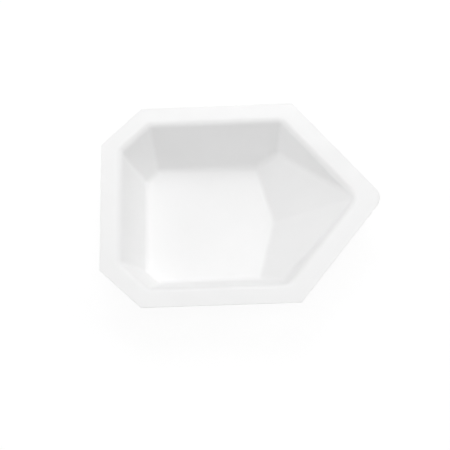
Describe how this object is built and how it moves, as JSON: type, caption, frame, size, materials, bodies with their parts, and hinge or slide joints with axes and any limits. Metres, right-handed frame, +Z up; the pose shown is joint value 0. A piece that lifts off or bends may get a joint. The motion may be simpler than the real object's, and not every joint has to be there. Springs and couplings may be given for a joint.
{
  "type": "weighing boat",
  "caption": "Shallow white plastic weighing boat with a flat flange, sloping walls and a ramp to a pouring tip, for weighing out and pouring powders or liquids.",
  "frame": {"origin": "on the resting plane, under the middle of the overall box", "axes": "+X towards the pouring tip, +Y across the dish, +Z up out of the opening"},
  "size_m": [0.0886, 0.0706, 0.0161],
  "materials": {
    "shell": "smooth satin white polystyrene"
  },
  "bodies": {
    "root": {"dish": "shell"}
  },
  "joints": []
}
